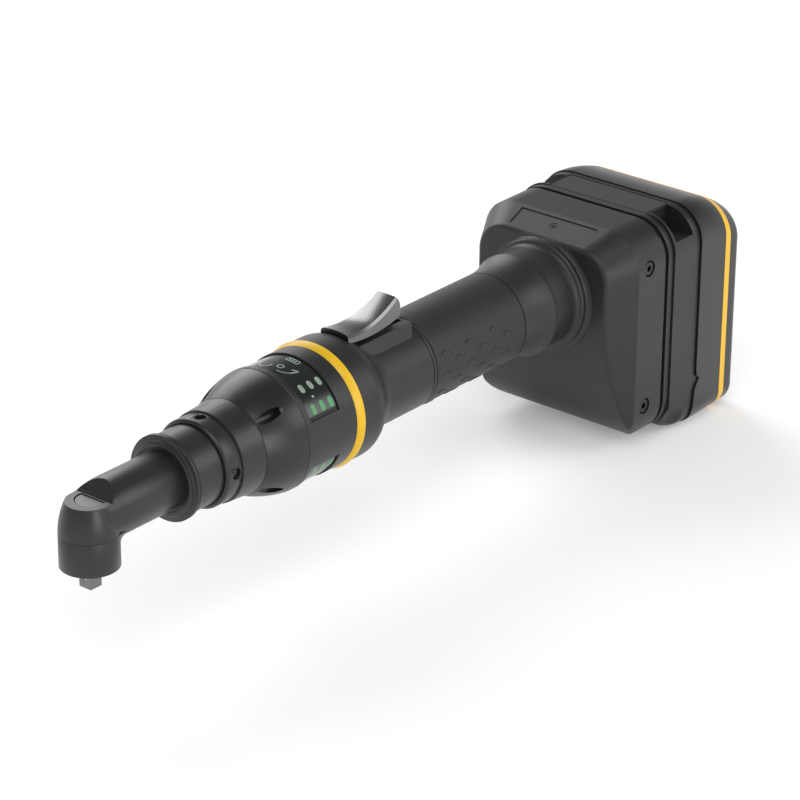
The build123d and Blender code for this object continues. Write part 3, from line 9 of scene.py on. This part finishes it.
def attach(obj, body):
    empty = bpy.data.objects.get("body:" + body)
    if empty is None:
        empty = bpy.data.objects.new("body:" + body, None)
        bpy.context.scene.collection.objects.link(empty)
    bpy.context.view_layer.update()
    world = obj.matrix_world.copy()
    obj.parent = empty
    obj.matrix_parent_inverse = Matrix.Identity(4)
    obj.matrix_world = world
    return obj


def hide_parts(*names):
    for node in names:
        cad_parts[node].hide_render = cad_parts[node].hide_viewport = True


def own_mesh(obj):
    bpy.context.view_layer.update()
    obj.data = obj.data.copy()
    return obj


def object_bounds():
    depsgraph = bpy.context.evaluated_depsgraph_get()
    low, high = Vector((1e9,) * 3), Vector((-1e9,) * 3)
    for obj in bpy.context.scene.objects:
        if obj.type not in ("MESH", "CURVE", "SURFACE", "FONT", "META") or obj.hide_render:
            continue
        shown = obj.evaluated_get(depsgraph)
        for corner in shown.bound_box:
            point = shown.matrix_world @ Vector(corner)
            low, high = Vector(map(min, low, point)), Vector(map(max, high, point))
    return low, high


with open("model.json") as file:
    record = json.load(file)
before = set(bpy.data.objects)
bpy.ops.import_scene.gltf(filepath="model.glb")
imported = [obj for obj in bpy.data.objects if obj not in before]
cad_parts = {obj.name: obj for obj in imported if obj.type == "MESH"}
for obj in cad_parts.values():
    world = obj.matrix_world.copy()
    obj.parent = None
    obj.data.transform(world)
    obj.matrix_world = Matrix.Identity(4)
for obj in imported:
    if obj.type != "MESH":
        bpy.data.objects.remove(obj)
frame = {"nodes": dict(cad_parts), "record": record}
cad_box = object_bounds()
nodes = frame["nodes"]

AXIS_HEIGHT = 0.03        # the tool's long axis above the end of the square drive, in metres

# Surfaces. Sizes are in metres.
GRAIN_SIZE = 0.0005
GRAIN_DETAIL = 2.0
GRAIN_ROUGHNESS = 0.55
BUMP_DISTANCE = 0.0002
UNEVENNESS = 0.2          # how far shade and gloss drift from place to place
DRIFT_SCALE = 38.0
DRIFT_DETAIL = 3.0
LINE_PITCH = 0.0003
LINE_DETAIL = 2.0
SEGMENT_ROUGHNESS = 0.4

# Marks of the displays, in millimetres, and in degrees round the tool's long axis.
MARK_RADIUS = 25.73
BAR_X = (106.0, 111.2, 116.2)
BAR_WIDTH = 2.4
BAR_STEPS = 16
PALE_BARS = (122.5, 131.3)
GREEN_BARS = (143.4, 153.3)
ARC_STEPS = 20
LEAST_NARROWING = 0.3     # square of the share of the width that a round end keeps

# Lozenges of the grip, in millimetres and degrees.
GRIP_RADIUS = 20.25
GRIP_FIRST_X = 192.6
GRIP_PITCH = 16.3
GRIP_COLUMNS = 3
GRIP_FIRST_ANGLE = 154.4
GRIP_ROW_STEP = 13.25
GRIP_ROWS = 16
LOZENGE_CORNERS = ((0.0, 0.0), (-2.9, 5.0), (1.6, 10.2), (4.5, 5.2))
LOZENGE_MIDDLE = (0.8, 5.1)
LOZENGE_LEVELS = ((0.0, -0.1), (0.04, 0.12), (0.2, 0.34))    # share drawn to the middle, and the rise
LOZENGE_SHARES = (0.12, 0.5, 0.88)                           # where the points of each side lie

# Edges that catch the light, with the radius of each in metres.
SOFT_EDGES = {
    "head_casting": 0.0003, "head_cover": 0.0003, "locking_collar": 0.0002, "coupling_nut": 0.0002,
    "accent_ring": 0.0002, "handle_band": 0.0002, "rear_plate": 0.0003, "battery_frame": 0.0003}
SOFT_SEGMENTS = 2
SHARP_ANGLE = 35          # in degrees
WELD_DISTANCE = 0.000004

# The set, in metres.
FLOOR_GAP = 0.0003        # between the object's lowest point and the floor
FLOOR_HALF_SIZE = 6.0
FLOOR_MIDDLE = (0.2, 0.0)
FLOOR_TONE = 0.9
FLOOR_ROUGHNESS = 0.9
NEAR_AND_FAR = (0.8, 3.0)
FLOOR_LIFTS = (0.22, 0.7)       # how much paler the floor looks than it is lit, near and far
LOW_AND_HIGH = (0.02, 0.55)     # heights of the direction in which the room is seen
ROOM_TONES = (0.85, 0.25)       # brightness of the room round the set, low down and overhead
LAMPS = (                       # name, place, width, watts and the point that it faces
    ("key_lamp", (-0.75, -0.55, 1.3), 1.1, 10.0, (0.15, 0, 0)),
    ("rim_lamp", (0.6, 1.1, 0.8), 1.0, 11.0, (0.2, 0, 0)),
    ("side_lamp", (0.9, -1.2, 0.8), 0.9, 7.0, (0.25, 0, 0)),
    ("low_lamp", (-0.25, -1.5, 0.3), 0.7, 6.0, (0.1, 0, 0)))

# The camera, at the photograph's place and turned as the photograph is.
CAMERA_PLACE = (-0.84975, -0.84162, 0.63236)
CAMERA_RIGHT = (0.633098, -0.774031, 0.007937)
CAMERA_UP = (0.321419, 0.272196, 0.906972)
CAMERA_BACK = (-0.704185, -0.571652, 0.421115)
SENSOR_WIDTH = 36.0       # this and the focal length in millimetres
FOCAL_LENGTH = 158.078
CLIP_START = 0.05
CLIP_END = 30.0


def socketed_group(name, inputs, outputs):
    """A shader node group with the named number inputs and the named outputs."""
    group = bpy.data.node_groups.new(name, "ShaderNodeTree")
    for label, value in inputs:
        made = group.interface.new_socket(label, in_out="INPUT", socket_type="NodeSocketFloat")
        made.default_value = value
    for label in outputs:
        group.interface.new_socket(label, in_out="OUTPUT", socket_type="NodeSocketFloat")
    return group, group.nodes.new("NodeGroupInput"), group.nodes.new("NodeGroupOutput")


def math_node(tree, operation, first, second):
    """A maths node fed by sockets or plain numbers."""
    node = tree.nodes.new("ShaderNodeMath")
    node.operation = operation
    for socket, value in zip(node.inputs, (first, second)):
        if isinstance(value, bpy.types.NodeSocket):
            tree.links.new(value, socket)
        else:
            socket.default_value = value
    return node.outputs[0]


def range_node(tree, value, given, wanted):
    """Carries a value from the given range over to the wanted one and holds it within that."""
    node = tree.nodes.new("ShaderNodeMapRange")
    for label, number in zip(("From Min", "From Max", "To Min", "To Max"), (*given, *wanted)):
        node.inputs[label].default_value = number
    tree.links.new(value, node.inputs["Value"])
    return node.outputs["Result"]


def moulded_grain():
    """Grain of a moulded or painted surface: a height for bump, and a slow drift of shade and gloss."""
    group, given, put = socketed_group(
        "moulded_grain", [("Grain Size", GRAIN_SIZE), ("Unevenness", UNEVENNESS)], ("Height", "Shade"))
    where = group.nodes.new("ShaderNodeTexCoord")
    fine = group.nodes.new("ShaderNodeTexNoise")
    fine.inputs["Detail"].default_value = GRAIN_DETAIL
    fine.inputs["Roughness"].default_value = GRAIN_ROUGHNESS
    group.links.new(where.outputs["Object"], fine.inputs["Vector"])
    scale = math_node(group, "DIVIDE", 1.0, given.outputs["Grain Size"])
    group.links.new(scale, fine.inputs["Scale"])
    slow = group.nodes.new("ShaderNodeTexNoise")
    slow.inputs["Scale"].default_value = DRIFT_SCALE
    slow.inputs["Detail"].default_value = DRIFT_DETAIL
    group.links.new(where.outputs["Object"], slow.inputs["Vector"])
    centred = math_node(group, "SUBTRACT", slow.outputs["Fac"], 0.5)
    shift = math_node(group, "MULTIPLY", centred, given.outputs["Unevenness"])
    group.links.new(math_node(group, "ADD", shift, 1.0), put.inputs["Shade"])
    group.links.new(fine.outputs["Fac"], put.inputs["Height"])
    return group


def turned_lines():
    """Fine lines left by turning, round the tool's long axis, as a height."""
    group, given, put = socketed_group("turned_lines", [("Line Pitch", LINE_PITCH)], ("Height",))
    where = group.nodes.new("ShaderNodeTexCoord")
    apart = group.nodes.new("ShaderNodeSeparateXYZ")
    group.links.new(where.outputs["Object"], apart.inputs[0])
    along = group.nodes.new("ShaderNodeTexNoise")
    along.noise_dimensions = "1D"
    along.inputs["Detail"].default_value = LINE_DETAIL
    along.inputs["Scale"].default_value = 1.0
    lines = math_node(group, "DIVIDE", apart.outputs["X"], given.outputs["Line Pitch"])
    group.links.new(lines, along.inputs["W"])
    group.links.new(along.outputs["Fac"], put.inputs["Height"])
    return group


GRAIN = moulded_grain()
LINES = turned_lines()


def grained(name, colour, roughness, grain_size=GRAIN_SIZE, bump=0.1, unevenness=UNEVENNESS, metallic=0.0):
    """A moulded, painted or cast surface with fine grain and slightly uneven shade and gloss."""
    material = bpy.data.materials.new(name)
    material.use_nodes = True
    tree = material.node_tree
    shader = tree.nodes["Principled BSDF"]
    shader.inputs["Metallic"].default_value = metallic
    effect = tree.nodes.new("ShaderNodeGroup")
    effect.node_tree = GRAIN
    effect.inputs["Grain Size"].default_value = grain_size
    effect.inputs["Unevenness"].default_value = unevenness
    tint = tree.nodes.new("ShaderNodeMix")
    tint.data_type = "RGBA"
    tint.blend_type = "MULTIPLY"
    tint.inputs["Factor"].default_value = 1.0
    tint.inputs["A"].default_value = (*colour, 1.0)
    tree.links.new(effect.outputs["Shade"], tint.inputs["B"])
    tree.links.new(tint.outputs["Result"], shader.inputs["Base Color"])
    gloss = math_node(tree, "MULTIPLY", effect.outputs["Shade"], roughness)
    tree.links.new(gloss, shader.inputs["Roughness"])
    relief = tree.nodes.new("ShaderNodeBump")
    relief.inputs["Strength"].default_value = bump
    relief.inputs["Distance"].default_value = BUMP_DISTANCE
    tree.links.new(effect.outputs["Height"], relief.inputs["Height"])
    tree.links.new(relief.outputs["Normal"], shader.inputs["Normal"])
    return material


def turned_metal(name, colour, roughness, pitch=LINE_PITCH, bump=0.15):
    """Bare metal with the fine lines of turning or grinding."""
    material = grained(name, colour, roughness, metallic=1.0, bump=bump)
    tree = material.node_tree
    effect = tree.nodes.new("ShaderNodeGroup")
    effect.node_tree = LINES
    effect.inputs["Line Pitch"].default_value = pitch
    tree.links.new(effect.outputs["Height"], tree.nodes["Bump"].inputs["Height"])
    return material


def glowing(name, colour, strength):
    """A lit segment seen through smoked glass: its own colour and a weak glow."""
    material = grained(name, colour, SEGMENT_ROUGHNESS, bump=0.0)
    shader = material.node_tree.nodes["Principled BSDF"]
    shader.inputs["Emission Color"].default_value = (*colour, 1.0)
    shader.inputs["Emission Strength"].default_value = strength
    return material


# For each slot of the CAD model: name, colour and roughness, then grain or line pitch and bump.
FINISHES = {
    "black_casting": grained("cast_black", (0.014, 0.014, 0.0145), 0.36, 0.0004, 0.12),
    "black_cover": grained("cover_black", (0.015, 0.015, 0.0155), 0.36, 0.0004, 0.12),
    "grey_cap": grained("cap_grey", (0.1, 0.1, 0.103), 0.38, metallic=0.5),
    "black_collar": grained("collar_black", (0.013, 0.013, 0.0135), 0.36, 0.0003, 0.08),
    "black_sleeve": grained("sleeve_black", (0.015, 0.015, 0.0155), 0.36, 0.0003, 0.08),
    "drive_steel": turned_metal("drive_steel", (0.2, 0.195, 0.19), 0.32),
    "gear_steel": turned_metal("gear_steel", (0.42, 0.42, 0.42), 0.3),
    "bearing_steel": turned_metal("bearing_steel", (0.55, 0.55, 0.56), 0.2),
    "bronze": turned_metal("bush_bronze", (0.5, 0.33, 0.16), 0.4),
    "magnet": turned_metal("magnet_plate", (0.3, 0.3, 0.32), 0.35),
    "laminations": turned_metal("laminations", (0.25, 0.25, 0.26), 0.45, 0.0004, 0.5),
    "copper": turned_metal("winding_copper", (0.6, 0.26, 0.12), 0.35, 0.0006, 0.6),
    "can_metal": turned_metal("motor_can", (0.5, 0.5, 0.52), 0.35),
    "tube_metal": turned_metal("tube_metal", (0.06, 0.06, 0.062), 0.4),
    "cone_plastic": grained("cone_black", (0.01, 0.01, 0.0105), 0.34, 0.0004, 0.06),
    "lens": grained("lamp_lens", (0.5, 0.52, 0.54), 0.08, bump=0.02),
    "ring_plastic": grained("ring_black", (0.013, 0.013, 0.0135), 0.4, 0.0004, 0.1),
    "window": grained("window_smoke", (0.008, 0.012, 0.01), 0.12, bump=0.01),
    "circuit_board": grained("board_green", (0.01, 0.08, 0.03), 0.4),
    "yellow": grained("accent_yellow", (0.78, 0.47, 0.006), 0.36, bump=0.04, unevenness=0.06),
    "handle_plastic": grained("handle_black", (0.013, 0.013, 0.014), 0.42, 0.0004, 0.14),
    "grip_rubber": grained("grip_black", (0.014, 0.014, 0.0145), 0.52, 0.0005, 0.2),
    "lever_metal": grained("lever_metal", (0.19, 0.19, 0.195), 0.24, 0.0004, 0.03, metallic=1.0),
    "switch_plastic": grained("switch_black", (0.03, 0.03, 0.03), 0.45),
    "housing_plastic": grained("housing_black", (0.013, 0.013, 0.0135), 0.44, 0.0004, 0.14),
    "screw_steel": turned_metal("screw_black", (0.05, 0.05, 0.052), 0.3),
    "seal_rubber": grained("seal_black", (0.005, 0.005, 0.005), 0.6),
    "contact_copper": turned_metal("contact_copper", (0.75, 0.4, 0.2), 0.25),
    "battery_plastic": grained("battery_black", (0.013, 0.013, 0.0135), 0.42, 0.0004, 0.12),
    "battery_gloss": grained("battery_shell_black", (0.013, 0.013, 0.0135), 0.3, 0.0004, 0.05),
    "key_plastic": grained("key_black", (0.018, 0.018, 0.019), 0.36, 0.0004, 0.08),
    "spring_steel": turned_metal("spring_steel", (0.5, 0.5, 0.5), 0.25),
    "cell_sleeve": grained("cell_blue", (0.05, 0.15, 0.35), 0.3),
    "stripe": grained("stripe_yellow", (0.88, 0.5, 0.01), 0.32, bump=0.03, unevenness=0.06),
}
PALE_LIGHT = glowing("pale_light", (0.2, 0.25, 0.21), 0.25)
GREEN_LIGHT = glowing("green_light", (0.05, 0.21, 0.08), 0.4)


def finish_nodes():
    """Gives every piece of the CAD model the finish of its slot."""
    slot_of = {part["node"]: part["material_slot"] for part in frame["record"]["subparts"]}
    for name, part in nodes.items():
        part.data.materials.clear()
        part.data.materials.append(FINISHES[slot_of[name]])


def placed(name, data):
    """A new object in the scene with the given data."""
    made = bpy.data.objects.new(name, data)
    bpy.context.scene.collection.objects.link(made)
    return made


def placed_shape(name, shape, material):
    """Turns a bmesh into a new object in the scene with one material."""
    mesh = bpy.data.meshes.new(name)
    shape.to_mesh(mesh)
    shape.free()
    mesh.materials.append(material)
    return placed(name, mesh)


def finished_object(name, shape, finish, body):
    """Turns a bmesh into a named piece with its finish, riding on a body."""
    piece = placed_shape(name, shape, finish)
    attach(piece, body)
    return piece


def round_place(x, angle, radius):
    """A point on a cylinder round the long axis, from millimetres and degrees; 0 is +Y and 90 is up."""
    turn = math.radians(angle)
    return Vector((x, radius * math.cos(turn), radius * math.sin(turn) + 1000 * AXIS_HEIGHT)) / 1000


def ribbon(shape, path, width, closed=False, round_ends=False):
    """A strip behind a window along a path of (x, angle) points, with its ends narrowed if they are round."""
    flat = [Vector((x, math.radians(angle) * MARK_RADIUS)) for x, angle in path]
    edges = []
    for i, spot in enumerate(flat):
        if closed:
            before, after = flat[i - 1], flat[(i + 1) % len(flat)]
        else:
            before, after = flat[max(i - 1, 0)], flat[min(i + 1, len(flat) - 1)]
        along = (after - before).normalized()
        narrow = 1.0
        share = min((spot - flat[0]).length, (spot - flat[-1]).length) / (width / 2)
        if round_ends and share < 1:
            narrow = math.sqrt(max(1 - (1 - share) ** 2, LEAST_NARROWING))
        across = Vector((-along.y, along.x)) * narrow * width / 2
        edges.append([shape.verts.new(round_place(side.x, math.degrees(side.y / MARK_RADIUS), MARK_RADIUS))
                      for side in (spot - across, spot + across)])
    pairs = list(zip(edges, edges[1:])) + ([(edges[-1], edges[0])] if closed else [])
    for (a, b), (c, d) in pairs:
        shape.faces.new((a, c, d, b))


def stretch(start, end, steps):
    """Evenly spaced points from one (x, angle) point to another."""
    return [(start[0] + (end[0] - start[0]) * i / steps, start[1] + (end[1] - start[1]) * i / steps)
            for i in range(steps + 1)]


def arc_path(x, angle, size, start, end):
    """Points of an arc behind a window, round (x, angle), with its radius in millimetres as size."""
    turns = [math.radians(start + (end - start) * i / ARC_STEPS) for i in range(ARC_STEPS + 1)]
    return [(x + size * math.cos(turn), angle + math.degrees(size * math.sin(turn) / MARK_RADIUS))
            for turn in turns]


def bars(low, high):
    """Three bars side by side between two angles."""
    shape = bmesh.new()
    for x in BAR_X:
        ribbon(shape, stretch((x, low), (x, high), BAR_STEPS), BAR_WIDTH, round_ends=True)
    return shape


def symbols():
    """The dot between the bars and the round and square symbols beside them."""
    dot = stretch((108.8, 136.4), (108.8, 138.6), steps=2)
    ring = arc_path(108.7, 94.9, size=1.35, start=0, end=342)
    bow = arc_path(110.6, 96.6, size=5.6, start=178, end=112)
    tip = (111.8, 110.4)
    barbs = [stretch(start, tip, steps=3) for start in ((108.0, 108.4), (110.2, 104.9))]
    corners = [(114.9, 88.6), (117.3, 88.6), (117.3, 101.8), (114.9, 101.8)]
    sides = [stretch(start, end, steps=6) for start, end in zip(corners, corners[1:] + corners[:1])]
    dashes = [stretch((116.1, angle), (116.1, angle + 1.6), steps=2) for angle in (91.2, 94.4, 97.6)]
    hook = arc_path(107.4, 80.4, size=2.7, start=70, end=290)
    strokes = (
        ([dot], 1.1, False), ([ring], 0.55, True), ([bow], 0.5, False), (barbs, 0.7, False),
        (sides, 0.5, False), (dashes, 1.5, False), ([hook], 0.6, False))
    shape = bmesh.new()
    for paths, width, closed in strokes:
        for path in paths:
            ribbon(shape, path, width, closed)
    return shape


def lit_marks(name, shape, below, finish):
    """Marks of light behind a window; those of the lower window are the upper ones mirrored."""
    if below:
        for vert in shape.verts:
            vert.co.z = 2 * AXIS_HEIGHT - vert.co.z
        bmesh.ops.reverse_faces(shape, faces=shape.faces)
    finished_object(name, shape, finish, "tool")


def display_marks():
    """What the two displays show."""
    for place, below in (("upper", False), ("lower", True)):
        lit_marks(place + "_pale_bars", bars(*PALE_BARS), below, PALE_LIGHT)
        lit_marks(place + "_green_bars", bars(*GREEN_BARS), below, GREEN_LIGHT)
        lit_marks(place + "_symbols", symbols(), below, PALE_LIGHT)


def lozenge(shape, x, angle):
    """One raised lozenge with its first corner at x and angle: rings of points that rise and close in."""
    corners = [(x + along, angle + turned) for along, turned in LOZENGE_CORNERS]
    middle_x, middle_angle = x + LOZENGE_MIDDLE[0], angle + LOZENGE_MIDDLE[1]
    rings = []
    for inset, rise in LOZENGE_LEVELS:
        ring = []
        for (x0, a0), (x1, a1) in zip(corners, corners[1:] + corners[:1]):
            for share in LOZENGE_SHARES:
                px, pa = x0 + (x1 - x0) * share, a0 + (a1 - a0) * share
                px, pa = px + (middle_x - px) * inset, pa + (middle_angle - pa) * inset
                ring.append(shape.verts.new(round_place(px, pa, GRIP_RADIUS + rise)))
        rings.append(ring)
    for low, high in zip(rings, rings[1:]):
        for i in range(len(low)):
            shape.faces.new((low[i - 1], low[i], high[i], high[i - 1]))
    shape.faces.new(rings[-1])


def grip_lozenges():
    """Raised lozenges in staggered rows round the grip's sides and underside; its top stays smooth."""
    shape = bmesh.new()
    for row in range(GRIP_ROWS):
        first_x = GRIP_FIRST_X + (GRIP_PITCH / 2 if row % 2 else 0.0)
        for column in range(GRIP_COLUMNS):
            lozenge(shape, first_x + GRIP_PITCH * column, GRIP_FIRST_ANGLE + GRIP_ROW_STEP * row)
    bmesh.ops.recalc_face_normals(shape, faces=shape.faces)
    finished_object("grip_lozenges", shape, FINISHES["grip_rubber"], "tool")


def release_coils():
    """The two springs under the release key, as a piece of their own that rides on the battery."""
    node = nodes["release_springs"]
    shape = bmesh.new()
    shape.from_mesh(node.data)
    shape.transform(node.matrix_world)
    coils = finished_object("release_coils", shape, FINISHES["spring_steel"], "battery")
    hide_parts("release_springs")
    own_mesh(coils)


def soften_edges():
    """Small rounds on the sharp edges of the pieces that someone holds or looks at."""
    for name, radius in SOFT_EDGES.items():
        weld = nodes[name].modifiers.new("weld", "WELD")
        weld.merge_threshold = WELD_DISTANCE
        round_off = nodes[name].modifiers.new("soft_edges", "BEVEL")
        round_off.width = radius
        round_off.segments = SOFT_SEGMENTS
        round_off.limit_method = "ANGLE"
        round_off.angle_limit = math.radians(SHARP_ANGLE)


def floor_paper():
    """Pale paper that looks paler than it is lit, the more so the farther it lies from the object."""
    paper = bpy.data.materials.new("pale_floor")
    paper.use_nodes = True
    tree = paper.node_tree
    shader = tree.nodes["Principled BSDF"]
    shader.inputs["Base Color"].default_value = (FLOOR_TONE, FLOOR_TONE, FLOOR_TONE, 1.0)
    shader.inputs["Roughness"].default_value = FLOOR_ROUGHNESS
    shader.inputs["Emission Color"].default_value = (1.0, 1.0, 1.0, 1.0)
    light = tree.nodes.new("ShaderNodeLightPath")
    seen = math_node(tree, "MAXIMUM", light.outputs["Is Camera Ray"], light.outputs["Is Glossy Ray"])
    seen = math_node(tree, "MAXIMUM", seen, light.outputs["Is Transmission Ray"])
    where = tree.nodes.new("ShaderNodeTexCoord")
    away = tree.nodes.new("ShaderNodeVectorMath")
    away.operation = "LENGTH"
    tree.links.new(where.outputs["Object"], away.inputs[0])
    lift = range_node(tree, away.outputs["Value"], NEAR_AND_FAR, FLOOR_LIFTS)
    tree.links.new(math_node(tree, "MULTIPLY", seen, lift), shader.inputs["Emission Strength"])
    return paper


def pale_floor():
    """The floor just below the object, which stands in for the backdrop too."""
    shape = bmesh.new()
    bmesh.ops.create_grid(shape, x_segments=2, y_segments=2, size=FLOOR_HALF_SIZE)
    bmesh.ops.translate(shape, vec=(*FLOOR_MIDDLE, cad_box[0][2] - FLOOR_GAP), verts=shape.verts)
    floor = placed_shape("floor", shape, floor_paper())


def room():
    """A world that is pale low down and darker overhead."""
    world = bpy.data.worlds.new("studio")
    world.use_nodes = True
    tree = world.node_tree
    where = tree.nodes.new("ShaderNodeTexCoord")
    apart = tree.nodes.new("ShaderNodeSeparateXYZ")
    tree.links.new(where.outputs["Generated"], apart.inputs[0])
    tone = range_node(tree, apart.outputs["Z"], LOW_AND_HIGH, ROOM_TONES)
    tree.links.new(tone, tree.nodes["Background"].inputs["Color"])
    bpy.context.scene.world = world


def lamps():
    """Soft square lamps round the object."""
    for name, place, size, power, aim in LAMPS:
        lamp = bpy.data.lights.new(name, "AREA")
        lamp.size = size
        lamp.energy = power
        holder = placed(name, lamp)
        holder.location = place
        holder.rotation_mode = "QUATERNION"
        holder.rotation_quaternion = (Vector(aim) - Vector(place)).to_track_quat("-Z", "Y")


def camera():
    """The camera that sees the object as the photograph does."""
    data = bpy.data.cameras.new("photo_camera")
    data.sensor_width = SENSOR_WIDTH
    data.lens = FOCAL_LENGTH
    data.clip_start = CLIP_START
    data.clip_end = CLIP_END
    holder = placed("photo_camera", data)
    turn = Matrix((CAMERA_RIGHT, CAMERA_UP, CAMERA_BACK)).transposed()
    holder.matrix_world = Matrix.Translation(CAMERA_PLACE) @ turn.to_4x4()
    bpy.context.scene.camera = holder


finish_nodes()
display_marks()
grip_lozenges()
release_coils()
soften_edges()
pale_floor()
room()
lamps()
camera()
bpy.context.scene.view_settings.view_transform = "Standard"
